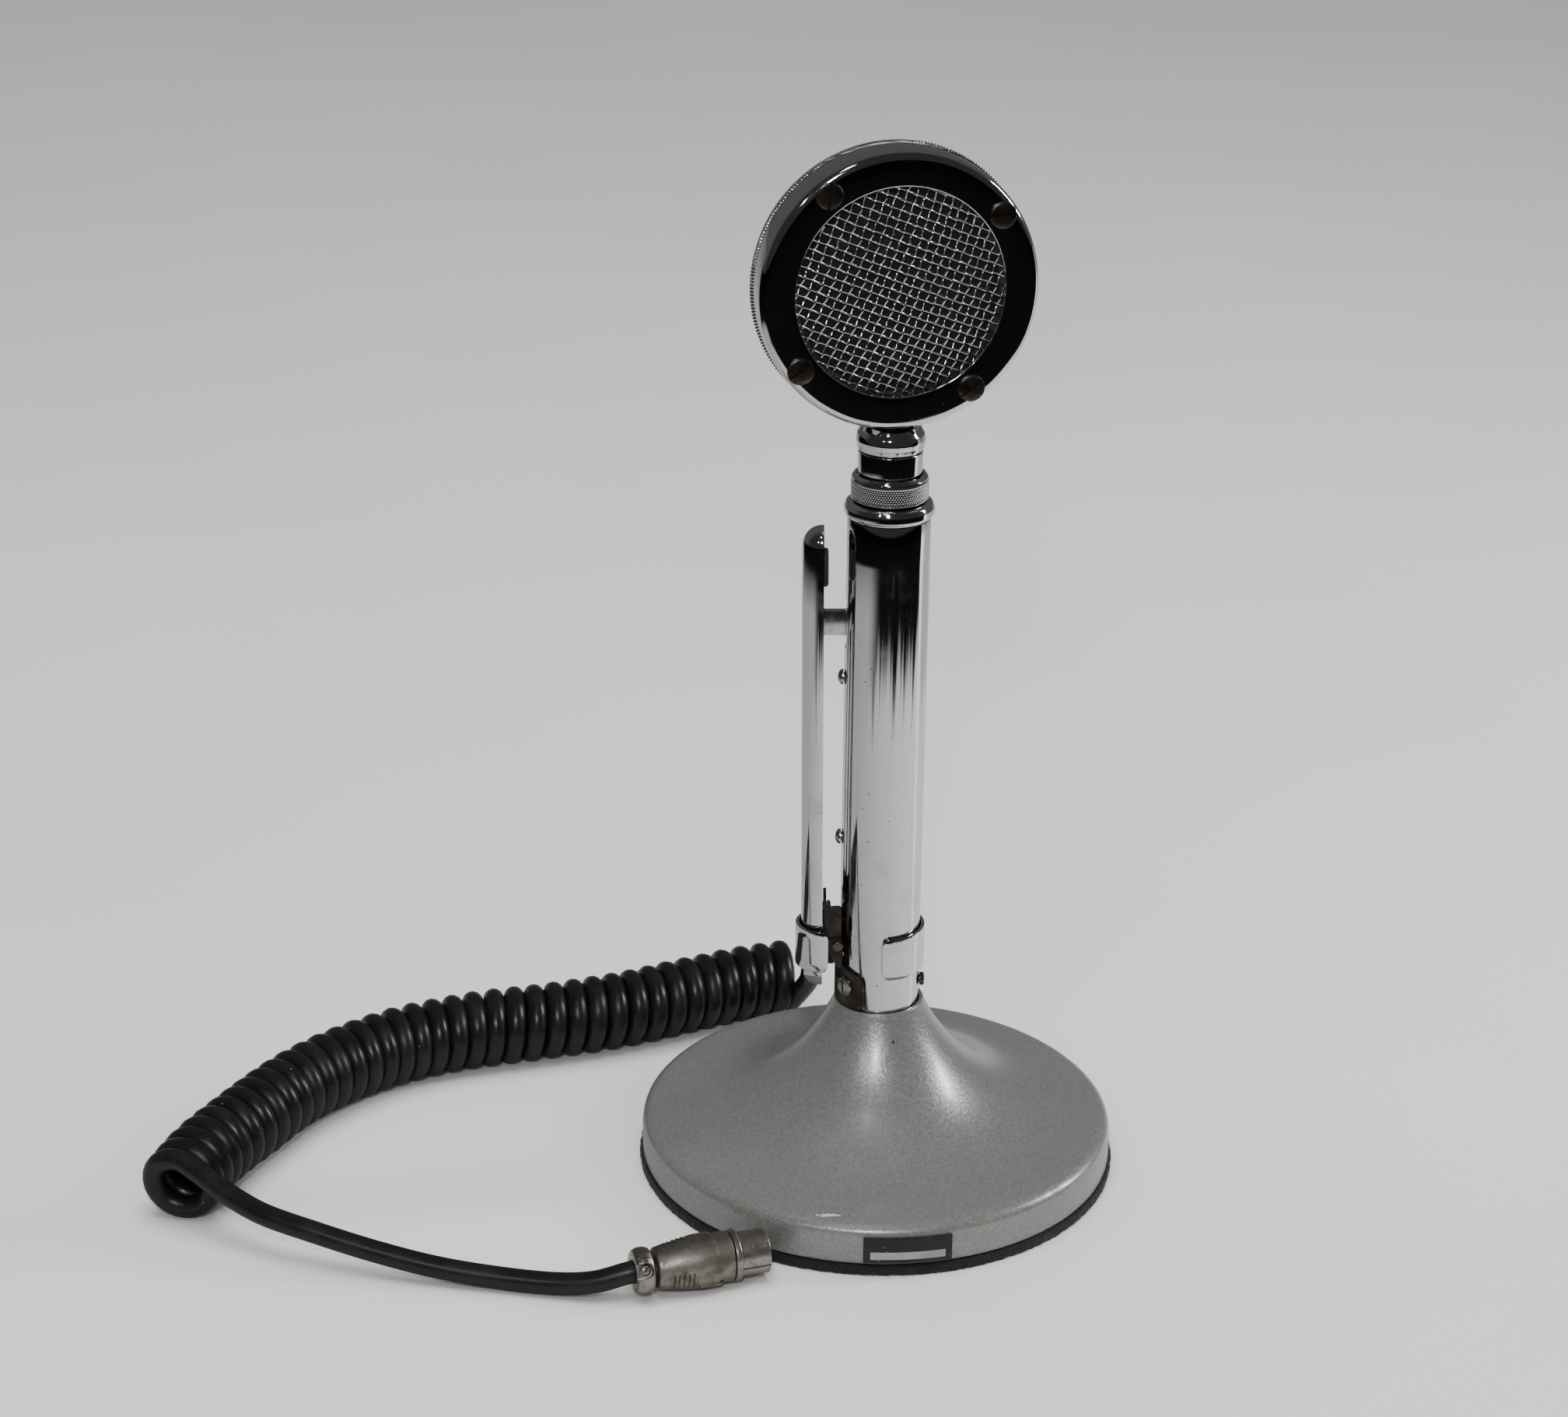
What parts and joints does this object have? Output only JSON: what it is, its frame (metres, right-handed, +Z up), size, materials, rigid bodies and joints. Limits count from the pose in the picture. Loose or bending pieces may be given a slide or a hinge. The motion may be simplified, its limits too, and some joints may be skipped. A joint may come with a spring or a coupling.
{
  "type": "desk microphone",
  "caption": "Round chrome grille microphone head on a tube stand with a side grip-to-talk lever, a heavy trumpet base, a curly cord and a round plug.",
  "frame": {"origin": "centre of the felt's underside, on the surface that the base stands on", "axes": "+Z up along the tube; -Y is the front; -X is the side of the grip lever; the cord leaves the tube towards +Y"},
  "size_m": [0.3073, 0.2069, 0.3347],
  "materials": {
    "chrome": "polished chrome plate with light wear",
    "wire_mesh": "woven chromed wire",
    "base_paint": "metallic grey lacquer over cast metal, scuffed",
    "felt": "dark pressed felt",
    "label": "dark printed foil, left blank",
    "steel": "plated steel",
    "old_brass": "dark oxidised brass",
    "brass": "bright contact brass",
    "aluminium": "spun aluminium",
    "bakelite": "dark moulded bakelite",
    "rubber": "black rubber",
    "cord_jacket": "black rubber cord with a soft gloss",
    "nickel": "tarnished nickel plate"
  },
  "bodies": {
    "stand": {"felt_pad": "felt", "base_casting": "base_paint", "base_plate": "steel", "base_bolt": "steel", "tube_foot_plug": "steel", "label_plate": "label", "stand_tube": "chrome", "tube_collar": "chrome", "socket_insert": "bakelite", "socket_contact": "brass", "switch_strip": "bakelite", "contact_block": "bakelite", "fixed_contact": "brass", "tube_screw_1": "steel", "tube_screw_2": "steel", "side_screw": "steel", "cord_grommet": "rubber", "hinge_bracket": "old_brass", "bracket_screw_front": "steel", "bracket_screw_back": "steel", "hinge_pin_front": "steel", "hinge_pin_back": "steel", "cord_lead": "cord_jacket", "cord_coil": "cord_jacket", "cord_tail": "cord_jacket", "plug_clamp": "nickel", "plug_clamp_screw": "nickel", "plug_shell": "nickel", "plug_ring": "nickel", "plug_barrel": "nickel", "plug_insert": "bakelite"},
    "lever": {"grip_lever": "chrome", "lever_bumper": "rubber", "link_blade": "steel", "lever_yoke": "old_brass", "yoke_rivet_1": "steel", "yoke_rivet_2": "steel"},
    "contact_leaf": {"moving_contact": "brass"},
    "slide": {"lock_slide": "chrome"},
    "head": {"neck_plug": "brass", "plug_insulator": "bakelite", "plug_contact": "brass", "neck_sleeve": "chrome", "neck_ferrule": "chrome", "head_stud": "steel", "head_nut": "steel", "head_bezel": "chrome", "bezel_screw_1": "chrome", "bezel_screw_2": "chrome", "bezel_screw_3": "chrome", "bezel_screw_4": "chrome", "grille_mesh": "wire_mesh", "grille_gasket": "rubber", "cartridge_retainer": "aluminium", "cartridge": "aluminium", "serrated_rim": "chrome", "rear_case": "chrome", "rear_medallion": "chrome"},
    "ring": {"coupling_ring": "chrome"},
    "latch": {"plug_latch": "nickel"}
  },
  "joints": [
    {"name": "lever_press", "type": "hinge", "parent": "stand", "child": "lever", "pos_m": [-0.0135, 0, 0.0786], "axis": [0, 1, 0], "range_deg": [0, 1.8], "stiffness_Nm_per_rad": 6, "springref_deg": -1.72},
    {"name": "contact_press", "type": "hinge", "parent": "stand", "child": "contact_leaf", "pos_m": [-0.0079, 0, 0.1192], "axis": [0, 1, 0], "range_deg": [0, 3]},
    {"name": "slide_lock", "type": "slide", "parent": "stand", "child": "slide", "axis": [0, 0, 1], "range_m": [0, 0.026]},
    {"name": "head_swivel", "type": "hinge", "parent": "stand", "child": "head", "pos_m": [0, 0, 0.2294], "axis": [0, 0, 1], "range_deg": [-90, 90]},
    {"name": "ring_turn", "type": "hinge", "parent": "head", "child": "ring", "pos_m": [0, 0, 0.2302], "axis": [0, 0, 1], "continuous": true},
    {"name": "latch_press", "type": "slide", "parent": "stand", "child": "latch", "axis": [-0.2072, 0.6085, 0.766], "range_m": [0, 0.0009], "stiffness_N_per_m": 400, "springref_m": -0.001}
  ],
  "couplings": [
    {"joint": "contact_press", "follows": "lever_press", "ratio": 1.6}
  ]
}
